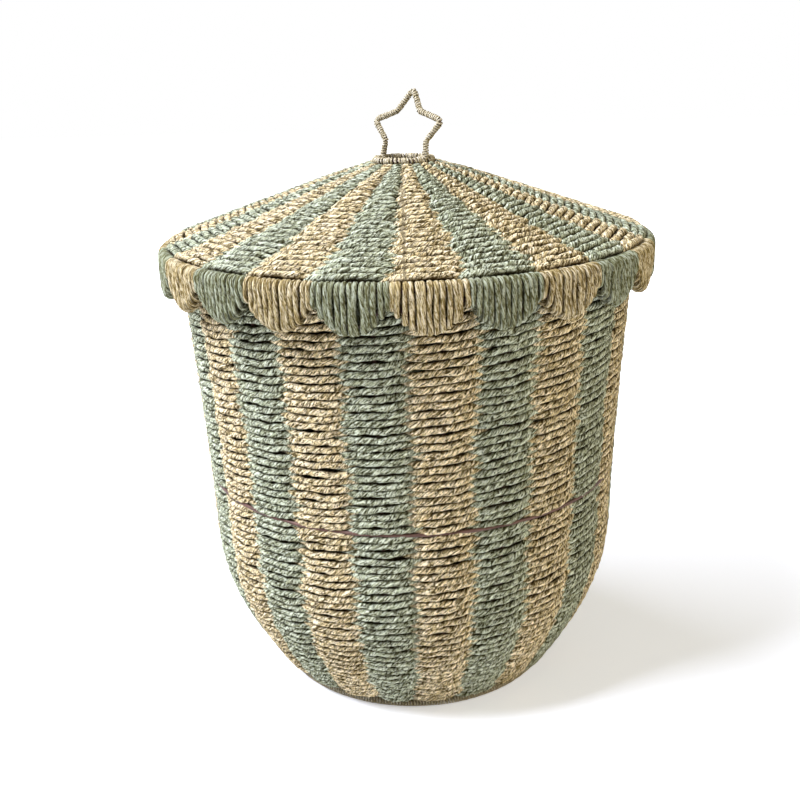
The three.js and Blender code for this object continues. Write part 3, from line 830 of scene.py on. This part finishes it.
def channel_scaled(colour, red, green, blue):
    """A colour with a share of each of its parts. It makes the random tint, the colours of painted
    shade and painted shadow, and the scallops' paper darkened as painted shade.
    """
    return (colour[0] * red, colour[1] * green, colour[2] * blue, 1.0)


def blank_material(name):
    material = bpy.data.materials.new(name)
    material.use_nodes = True
    return material, Tree(material.node_tree), material.node_tree.nodes["Principled BSDF"]


def paper(name, colour, groove=0.7, fibre=9 * MM, pale=1.7, deep=0.09):
    """Twisted paper of one colour. pale sets its pale streaks, partly paler fibres and partly
    painted highlight; groove and deep set the painted shade in its ply groove and creases.
    """
    if name in bpy.data.materials:
        return bpy.data.materials[name]
    material, tree, shader = blank_material(name)
    base = shaded(colour, 1.0)
    skin = tree.node("ShaderNodeGroup", node_tree=kept("Twisted paper", skin_group))
    # The pale colour is partly paler fibres and partly painted highlight; the two dark colours are
    # painted shade in the groove and creases, and painted shadow
    tree.fill(skin, {
        "Colour": base, "Pale": shaded(colour, pale, 0.35), "Tint": channel_scaled(base, 0.98, 0.9, 0.82),
        "Deep": channel_scaled(base, deep, 0.87 * deep, 0.55 * deep),
        "Shadow": channel_scaled(base, 0.04, 0.025, 0.01), "Groove": groove, "Fibre length": fibre,
    })
    bump = {"Height": skin.outputs["Height"], "Strength": 1.0, "Distance": 1.0 * MM}
    tree.fill(shader, {
        "Base Color": skin.outputs["Colour"], "Roughness": skin.outputs["Roughness"],
        "Normal": tree.add("ShaderNodeBump", bump), "Specular IOR Level": 0.08,
    })
    return material


def rope_paper(shade):
    """The paper of the woven ropes. shade is natural or green."""
    return paper(f"{shade}_paper", getattr(bpy.context.scene.basket_finish, shade))


def scallop_paper(shade):
    """The cord of the scallops: the rope's paper darkened as painted shade, smoother, with long
    straight fibres.
    """
    colour = channel_scaled(getattr(bpy.context.scene.basket_finish, shade), 0.7, 0.7, 0.67)[:3]
    return paper(f"scallop_{shade}", colour, groove=0.4, fibre=17 * MM, pale=1.5, deep=0.3)


def fine_paper():
    colour = bpy.context.scene.basket_finish.cord
    return paper("fine_cord", colour, groove=0.25, fibre=4 * MM, pale=1.3, deep=0.4)


def lacquered_wire():
    """Iron wire under thin brown lacquer, worn paler in spots."""
    name = "lacquered_wire"
    if name in bpy.data.materials:
        return bpy.data.materials[name]
    colour = bpy.context.scene.basket_finish.wire
    material, tree, shader = blank_material(name)
    place = tree.node("ShaderNodeTexCoord").outputs["Object"]
    spots = tree.add("ShaderNodeTexNoise", {"Vector": place, "Scale": 160.0, "Detail": 5.0})
    tint = tree.node("ShaderNodeValToRGB", {"Fac": spots})
    dark, pale = tint.color_ramp.elements
    dark.position, dark.color = 0.35, shaded(colour, 0.6)
    pale.position, pale.color = 0.72, shaded(colour, 1.5, 0.2)
    gloss = {"Value": spots, "To Min": 0.35, "To Max": 0.65}
    bump = {"Height": spots, "Strength": 0.3, "Distance": 0.2 * MM}
    tree.fill(shader, {
        "Base Color": tint.outputs["Color"], "Roughness": tree.add("ShaderNodeMapRange", gloss),
        "Normal": tree.add("ShaderNodeBump", bump), "Metallic": 0.35,
    })
    return material


# Operators


def settings():
    scene = bpy.context.scene
    return scene.basket_body, scene.basket_lid, scene.basket_rope


def closing_rows(first, last, first_pitch, last_pitch):
    """Rows whose pitch changes evenly from one edge to the other."""
    count = max(2, round(2 * (last - first) / (first_pitch + last_pitch)) + 1)
    pitch = np.linspace(first_pitch, last_pitch, count - 1)
    return first + (last - first) * np.concatenate([[0.0], np.cumsum(pitch)]) / pitch.sum()


def even_rows(first, last, pitch):
    return np.linspace(first, last, max(2, round((last - first) / pitch) + 1))


def woven(name, strands, shade, body):
    """Rope of one shade, as one piece."""
    waist = settings()[2].waist
    return laid(name, strands, rope_paper(shade), body, waist)


def cord(name, strand, material, body, flatness=1.0):
    """A round or flattened cord, as one piece."""
    return laid(name, [strand], material, body, 1.0, 6, flatness)


class BASKET_OT_body_rope(bpy.types.Operator):
    """Weaves the body's wall from green and natural rope"""
    bl_idname = "basket.body_rope"
    bl_label = "Body rope"

    def execute(self, context):
        body, _, rope = settings()
        line = wall_line(body)
        first = line.place_at_height(FIRST_ROW)
        last = line.place_at_height(RIM_BOX[0].z - EDGE_SHARE * rope.body_radius)
        hoop = line.place_at_height(body.hoop_height)
        places = np.concatenate([
            even_rows(first, hoop - rope.hoop_gap, rope.row_pitch),
            even_rows(hoop + rope.hoop_gap, last, rope.row_pitch),
        ])
        places += np.random.default_rng(UNEVEN_SEED).normal(0, rope.unevenness, len(places))
        half = half_wall(body.rib_wire, BODY_ROPE)
        weave = Weave(line, body.turn, half, BODY_ROPE, rope.body_radius, seed=11)
        for number, low in enumerate(range(0, len(places), ROWS_PER_PIECE), 1):
            part = range(low, min(low + ROWS_PER_PIECE, len(places)))
            for side, shade in SIDES:
                strands = [weave.row(i, places[i], side) for i in part]
                piece = woven(f"body_rope_{shade}_{number}", strands, shade, "basket")
                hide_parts("body_weave")
        return {"FINISHED"}


class BASKET_OT_floor_rope(bpy.types.Operator):
    """Weaves the floor and coils its middle"""
    bl_idname = "basket.floor_rope"
    bl_label = "Floor rope"

    def execute(self, context):
        body, _, rope = settings()
        height = floor_height(body)
        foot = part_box("base_ring_wrap")[1]
        edge = foot.x - 2 * (body.foot_cord + body.foot_wire / 2) - FLOOR_EDGE
        line = MidLine([body.floor_start, edge], [height, height])
        last = line.place[-1] - rope.body_radius - FLOOR_EDGE
        half = half_wall(body.rib_wire, BODY_ROPE) - FLOOR_CLOSER
        weave = Weave(line, body.turn, half, BODY_ROPE, rope.body_radius, seed=23, step=FLOOR_STEP)
        places = even_rows(0, last, rope.row_pitch)
        for side, shade in SIDES:
            strands = [weave.row(i, place, side) for i, place in enumerate(places)]
            woven(f"floor_rope_{shade}", strands, shade, "basket")
        coil = self.coil(body, rope, height)
        corner = np.linspace(0, FULL_TURN, CORNER_POINTS, endpoint=False)
        for beyond, level in ((CORNER_ABOVE, height + body.rib_wire / 2 + rope.body_radius),
                              (CORNER_BELOW, foot.z + EDGE_SHARE * rope.body_radius)):
            points = round_axis(corner, edge + beyond, level)
            ring = Strand(points, round_axis(corner, 1.0, 0.0), True, rope.body_radius)
            ring.twist = corner * CORNER_TWISTS
            coil.append(ring)
        woven("floor_coil", coil, "natural", "basket")
        return {"FINISHED"}

    def coil(self, body, rope, height):
        """A flat spiral above the floor's middle and one below it."""
        turns = (body.floor_start - COIL_TURNS_LESS) / (2 * rope.body_radius)
        turn = np.linspace(0, FULL_TURN * turns, COIL_POINTS)
        radius = COIL_START + (body.floor_start - COIL_RADIUS_LESS) * turn / turn[-1]
        strands = []
        for side in (-1, 1):
            level = height + side * (rope.body_radius + body.rib_wire / 4)
            points = round_axis(turn, radius, level)
            strand = Strand(points, round_axis(turn, 0.0, 1.0), False, rope.body_radius)
            strand.twist = FULL_TURN * strand.along() / rope.lay
            strands.append(strand)
        return strands


def ring_core(radius, height, count=720):
    """A closed ring's middle line, its direction and its outward side."""
    turn = np.linspace(0, FULL_TURN, count + 1)
    tangent = round_axis(turn + math.pi / 2, 1.0, 0.0)
    return round_axis(turn, radius, height), tangent, round_axis(turn, 1.0, 0.0)


class BASKET_OT_rim_cord(bpy.types.Operator):
    """Winds cord round the rim's hoop"""
    bl_idname = "basket.rim_cord"
    bl_label = "Rim cord"

    def execute(self, context):
        body, _, _ = settings()
        wrap = (RIM_BOX[1].z - RIM_BOX[0].z) / 2
        ring = ring_core(RIM_BOX[1].x - body.rim_wire / 2 - body.rim_cord, RIM_BOX[1].z - wrap)
        strand = wound(*ring, wrap - body.rim_cord / 2, RIM_PITCH * body.rim_cord, body.rim_cord,
                       wrap_points=10, jitter=0.015, seed=3)
        piece = cord("rim_cord", strand, rope_paper("natural"), "basket")
        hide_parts("rim_wrap")
        return {"FINISHED"}


class BASKET_OT_foot_cord(bpy.types.Operator):
    """Winds fine cord round the foot's ring, pressed flat where it stands"""
    bl_idname = "basket.foot_cord"
    bl_label = "Foot cord"

    def execute(self, context):
        body, _, _ = settings()
        low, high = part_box("base_ring_wrap")
        wrap = sleeve(body.foot_wire, body.foot_cord)
        ring = ring_core(high.x - wrap, high.z - wrap)
        strand = wound(*ring, wrap - body.foot_cord / 2, FOOT_PITCH, FOOT_WIDTH,
                       wrap_points=10, jitter=0.02, seed=8)
        strand.points[:, 2] = np.maximum(strand.points[:, 2], low.z + body.foot_cord / 2)
        piece = cord("foot_cord", strand, fine_paper(), "basket", body.foot_cord / FOOT_WIDTH)
        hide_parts("base_ring_wrap")
        return {"FINISHED"}


class BASKET_OT_middle_hoop(bpy.types.Operator):
    """Makes the bare hoop half way up, with a weld at each rib"""
    bl_idname = "basket.middle_hoop"
    bl_label = "Middle hoop"

    def execute(self, context):
        body, _, _ = settings()
        low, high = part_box("middle_hoop")
        values = {
            "Radius": (high.x - low.x) / 2 - body.hoop_wire / 2, "Height": (low.z + high.z) / 2,
            "Wire": body.hoop_wire, "Welds": body.rib_count, "Seed": 5,
            "Turn": body.turn - math.pi / 2, "Material": lacquered_wire(),
        }
        mesh = bpy.data.meshes.new("middle_hoop_path")
        tree = kept("Welded hoop", hoop_tree)
        piece = made_solid("middle_hoop_welded", mesh, tree, values, "basket")
        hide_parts("middle_hoop")
        return {"FINISHED"}


class BASKET_OT_lid_rope(bpy.types.Operator):
    """Weaves the lid's cone from green and natural rope"""
    bl_idname = "basket.lid_rope"
    bl_label = "Lid rope"

    def execute(self, context):
        body, lid, rope = settings()
        edge = body.rim_radius + lid.skirt_gap - CLEARANCE
        crown = lid.crown_radius + lid.crown_wire / 2 + lid.crown_cord + CROWN_GAP
        radii = np.array([edge, crown])
        line = MidLine(radii, lid_rib_height(body, lid, radii))
        first, last = LID_FIRST_ROW * rope.lid_radius, line.place[-1] - rope.lid_radius
        places = closing_rows(first, last, rope.lid_pitch, rope.crown_pitch)
        pitches = np.gradient(places)
        scales = (pitches / pitches.mean()) ** SIZE_BY_PITCH
        half = half_wall(lid.rib_wire, LID_ROPE)
        weave = Weave(line, lid.turn, half, LID_ROPE, rope.lid_radius, seed=37)
        for side, shade in SIDES:
            strands = [weave.row(i, place, side, scales[i]) for i, place in enumerate(places)]
            piece = woven(f"lid_rope_{shade}", strands, shade, "lid")
            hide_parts("lid_weave")
        return {"FINISHED"}


def scallop_strand(body, lid, rope, turn, random):
    """Cord wound round the hoop and the wavy wire, from one notch to the next."""
    wrap = sleeve(lid.hoop_wire, lid.scallop_cord)
    hoop_radius = body.rim_radius + lid.skirt_gap + wrap
    top = lid_rib_height(body, lid, hoop_radius) - lid.hoop_drop + wrap
    half_cord = lid.scallop_cord / 2
    bend = sleeve(lid.hoop_wire, half_cord)
    high = top - half_cord - bend
    half_span = math.pi / body.rib_count
    pitch = 2 / lid.scallop_wraps
    places = -1 + pitch * (np.arange(lid.scallop_wraps + 1) + 0.5)
    places[1:-2] += random.uniform(-PITCH_JITTER, PITCH_JITTER, lid.scallop_wraps - 2) * pitch
    points, outward = [], []

    def put(across, radial, level, facing):
        """across runs from -1 at one notch to 1 at the next, radial from the hoop."""
        points.append((turn + across * half_span, hoop_radius + radial, level))
        outward.append(facing)

    def bend_round(across, level, swing):
        """Half a turn round one of the wires, from an angle on."""
        for step in range(BEND_POINTS):
            angle_round = swing - math.pi * step / BEND_POINTS
            facing = (math.cos(angle_round), math.sin(angle_round))
            put(across, bend * facing[0], level + bend * facing[1], facing)

    bend_round(places[0], high, math.pi)
    for here, ahead in zip(places, places[1:]):
        foot = here * (1 + SCALLOP_SPREAD * here ** 2) + random.normal(0, FOOT_JITTER)
        hang = (lid.scallop_depth - lid.scallop_notch) * math.cos(foot * math.pi / 2)
        hang -= NOTCH_LIFT * here ** 6
        low = top - lid.scallop_notch - hang + half_cord + bend
        bow = random.normal(0, WRAP_BOW)
        proud = random.normal(0, WRAP_PROUD)
        straight = max(3, round((high - low) / rope.step))
        parts = np.arange(straight) / straight
        for part in parts:
            belly = math.sin(math.pi * part)
            across = here + (foot - here) * part + bow * belly / hoop_radius / half_span
            put(across, bend + proud * belly, high - (high - low) * part, (1.0, 0.0))
        bend_round(foot, low, 0.0)
        for part in parts:
            put(foot + (ahead - foot) * part, -bend, low + (high - low) * part, (-1.0, 0.0))
        bend_round(ahead, high, math.pi)

    # The cord ends on the hoop, so its last bend is left out
    points, outward = np.array(points[:-BEND_POINTS]), np.array(outward[:-BEND_POINTS])
    facing = round_axis(points[:, 0], outward[:, 0], outward[:, 1])
    strand = Strand(round_axis(*points.T), facing, False, half_cord, random.uniform())
    phases = random.uniform(0, FULL_TURN, 3)
    along = strand.along() / MM
    uneven = sum(np.sin(along / long + phase) for long, phase in zip(CORD_LENGTHS, phases))
    behind = (1 - outward[:, 0]) / 2
    strand.size = strand.size * (CORD_SIZE + CORD_UNEVEN * uneven + CORD_BEHIND * behind)
    strand.twist = random.uniform(0, FULL_TURN) - FULL_TURN * strand.along() / rope.scallop_lay
    return strand


class BASKET_OT_scallops(bpy.types.Operator):
    """Winds the cord of the lid's scallops"""
    bl_idname = "basket.scallops"
    bl_label = "Scallops"

    def execute(self, context):
        body, lid, rope = settings()
        random = np.random.default_rng(SCALLOP_SEED)
        pitch = FULL_TURN / body.rib_count
        strands = [
            scallop_strand(body, lid, rope, lid.turn + i * pitch, random)
            for i in range(body.rib_count)
        ]
        for first, shade in enumerate(("natural", "green")):
            piece = laid(f"scallop_cord_{shade}", strands[first::2], scallop_paper(shade), "lid",
                         SCALLOP_WAIST)
            nodes = [f"scallop_{i + 1:02d}" for i in range(first, body.rib_count, 2)]
            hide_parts(*nodes)
        return {"FINISHED"}


def crown_height(body, lid):
    """Height of the crown ring's middle."""
    stack = (lid.rib_wire + lid.crown_wire) / 2 - lid.crown_weld
    return lid_rib_height(body, lid, lid.crown_radius) + stack


class BASKET_OT_crown_cord(bpy.types.Operator):
    """Winds cord round the crown's ring, in groups between the ribs"""
    bl_idname = "basket.crown_cord"
    bl_label = "Crown cord"

    def execute(self, context):
        body, lid, _ = settings()
        ring = ring_core(lid.crown_radius, crown_height(body, lid), 480)
        reach = sleeve(lid.crown_wire, lid.crown_cord / 2)
        strand = wound(*ring, reach, CROWN_PITCH, CROWN_WIDTH, wrap_points=10, jitter=0.06,
                       seed=14, groups=11)
        piece = cord("crown_cord", strand, fine_paper(), "lid", lid.crown_cord / CROWN_WIDTH)
        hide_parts("crown_wrap")
        return {"FINISHED"}


def star_line(lid):
    """The star's middle line, seen square on, with small bends at its corners."""
    left = [(-across, up) for across, up in STAR_CORNERS]
    foot = lid.crown_radius / MM
    stops = [(-foot, 0.0), *left, STAR_TOP, *reversed(STAR_CORNERS), (foot, 0.0)]
    stops = [Vector((x, 0, z)) * MM for x, z in stops]
    points = [stops[0]]
    for before, corner, after in zip(stops, stops[1:], stops[2:]):
        arriving = (corner - before).normalized()
        leaving = (after - corner).normalized()
        reach = lid.star_bend * math.tan(arriving.angle(leaving) / 2)
        first, last = corner - arriving * reach, corner + leaving * reach
        for part in np.linspace(0, 1, 9):
            points.append(first.lerp(corner, part).lerp(corner.lerp(last, part), part))
    points.append(stops[-1])
    return np.array([tuple(p) for p in points])


class BASKET_OT_star_cord(bpy.types.Operator):
    """Winds fine cord round the star"""
    bl_idname = "basket.star_cord"
    bl_label = "Star cord"

    def execute(self, context):
        body, lid, _ = settings()
        flat = star_line(lid)
        done = distance_along(flat)
        fine = np.linspace(0, done[-1], STAR_POINTS)
        core = resampled(fine, done, flat)[fine > lid.crown_wire / 2]
        turn = Matrix.Rotation(-lid.star_turn, 3, "Z") @ Matrix.Rotation(-lid.star_lean, 3, "X")
        turn = np.array(turn).T
        side = np.tile([0.0, 1.0, 0.0], (len(core), 1)) @ turn
        place = core @ turn + np.array([0, 0, crown_height(body, lid)])
        reach = sleeve(lid.star_wire, lid.star_cord / 2)
        strand = wound(place, np.gradient(core, axis=0) @ turn, side, reach, STAR_PITCH, STAR_WIDTH,
                       wrap_points=9, jitter=0.07, seed=19)
        piece = cord("star_cord", strand, fine_paper(), "lid", lid.star_cord / STAR_WIDTH)
        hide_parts("star_wrap")
        return {"FINISHED"}


class BASKET_OT_wires(bpy.types.Operator):
    """Gives the frame's wires their lacquer"""
    bl_idname = "basket.wires"
    bl_label = "Wires"

    def execute(self, context):
        lacquer, plain = lacquered_wire(), rope_paper("natural")
        for name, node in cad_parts.items():
            is_wire = name.startswith(WIRES) and not name.endswith("wrap")
            for material_slot in node.material_slots:
                material_slot.material = lacquer if is_wire else plain
        return {"FINISHED"}


class BASKET_OT_stage(bpy.types.Operator):
    """Sets up the floor, the light and the camera"""
    bl_idname = "basket.stage"
    bl_label = "Stage"

    def execute(self, context):
        scene = context.scene
        self.floor(scene)
        self.light(scene)
        self.camera(scene)
        return {"FINISHED"}

    def floor(self, scene):
        """A pale floor that whitens away from the basket and keeps its shadow."""
        mesh = bpy.data.meshes.new("studio_floor")
        corners = ((-1, -1), (1, -1), (1, 1), (-1, 1))
        points = [(x * FLOOR_HALF, y * FLOOR_HALF, 0) for x, y in corners]
        mesh.from_pydata(points, [], [(0, 1, 2, 3)])
        floor = bpy.data.objects.new("studio_floor", mesh)
        scene.collection.objects.link(floor)
        material, tree, shader = blank_material("studio_floor")
        place = tree.node("ShaderNodeTexCoord").outputs["Object"]
        away = tree.node("ShaderNodeVectorMath", {0: place}, operation="LENGTH").outputs["Value"]
        lift = tree.add("ShaderNodeMapRange", {
            "Value": away, "From Min": 0.5, "From Max": 1.6, "To Min": 0.45, "To Max": 1.0,
        })
        seen = tree.node("ShaderNodeLightPath").outputs["Is Camera Ray"]
        tree.fill(shader, {
            "Base Color": (*scene.basket_finish.floor, 1.0), "Roughness": 0.9,
            "Specular IOR Level": 0.0, "Emission Color": (1, 1, 1, 1),
            "Emission Strength": tree.times(seen, lift),
        })
        mesh.materials.append(material)

    def light(self, scene):
        """A white surround that lights little, and three soft lamps."""
        world = bpy.data.worlds.new("studio_air")
        scene.world = world
        world.use_nodes = True
        tree = Tree(world.node_tree)
        rays = tree.node("ShaderNodeLightPath").outputs
        seen = tree.math("MAXIMUM", rays["Is Camera Ray"], rays["Is Glossy Ray"])
        seen = tree.math("MAXIMUM", seen, rays["Is Transmission Ray"])
        level = tree.add("ShaderNodeMapRange", {"Value": seen, "To Min": AIR_LIGHT, "To Max": 1.0})
        background = world.node_tree.nodes["Background"]
        tree.fill(background, {"Color": (1, 1, 1, 1), "Strength": level})
        for name, place, size, power, colour in LAMPS:
            data = bpy.data.lights.new(name, "AREA")
            data.size, data.energy, data.color = size, power, colour
            lamp = bpy.data.objects.new(name, data)
            scene.collection.objects.link(lamp)
            aim = (LAMP_AIM - Vector(place)).to_track_quat("-Z", "Y")
            lamp.matrix_world = Matrix.Translation(place) @ aim.to_matrix().to_4x4()

    def camera(self, scene):
        """The photograph's view, as it was fitted to the basket's outline."""
        data = bpy.data.cameras.new("camera")
        data.sensor_width, data.lens, data.clip_start = 36, CAMERA_LENS, 0.05
        camera = bpy.data.objects.new("camera", data)
        scene.collection.objects.link(camera)
        turn, down, roll = CAMERA_TURN, CAMERA_DOWN, CAMERA_ROLL
        level = Vector((math.cos(turn), -math.sin(turn), 0))
        ahead = Vector((math.sin(turn), math.cos(turn), 0)) * math.cos(down)
        ahead.z = -math.sin(down)
        above = level.cross(ahead)
        right = level * math.cos(roll) + above * math.sin(roll)
        up = above * math.cos(roll) - level * math.sin(roll)
        basis = Matrix((right, up, -ahead)).transposed().to_4x4()
        camera.matrix_world = Matrix.Translation(CAMERA_PLACE) @ basis
        scene.camera = camera
        scene.view_settings.view_transform = "Standard"


class BASKET_PT_panel(bpy.types.Panel):
    """The basket's pieces and sizes"""
    bl_label = "Lidded rope basket"
    bl_idname = "BASKET_PT_panel"
    bl_space_type = "VIEW_3D"
    bl_region_type = "UI"
    bl_category = "Basket"

    def draw(self, context):
        layout = self.layout
        for operator in OPERATORS:
            layout.operator(operator.bl_idname)
        for key in GROUPS:
            group, box = getattr(context.scene, key), layout.box()
            for name in group.__annotations__:
                box.prop(group, name)


GROUPS = {
    "basket_body": BodyShape,
    "basket_lid": LidShape,
    "basket_rope": RopeSizes,
    "basket_finish": Finish,
}

OPERATORS = (
    BASKET_OT_body_rope,
    BASKET_OT_floor_rope,
    BASKET_OT_rim_cord,
    BASKET_OT_foot_cord,
    BASKET_OT_middle_hoop,
    BASKET_OT_lid_rope,
    BASKET_OT_scallops,
    BASKET_OT_crown_cord,
    BASKET_OT_star_cord,
    BASKET_OT_wires,
    BASKET_OT_stage,
)

CLASSES = (*GROUPS.values(), *OPERATORS, BASKET_PT_panel)


def register():
    for added in CLASSES:
        bpy.utils.register_class(added)
    for name, group in GROUPS.items():
        setattr(bpy.types.Scene, name, PointerProperty(type=group))


def unregister():
    for name in GROUPS:
        delattr(bpy.types.Scene, name)
    for added in reversed(CLASSES):
        bpy.utils.unregister_class(added)


def main():
    register()
    for operator in OPERATORS:
        group, name = operator.bl_idname.split(".")
        getattr(getattr(bpy.ops, group), name)()


if __name__ == "__main__":
    main()
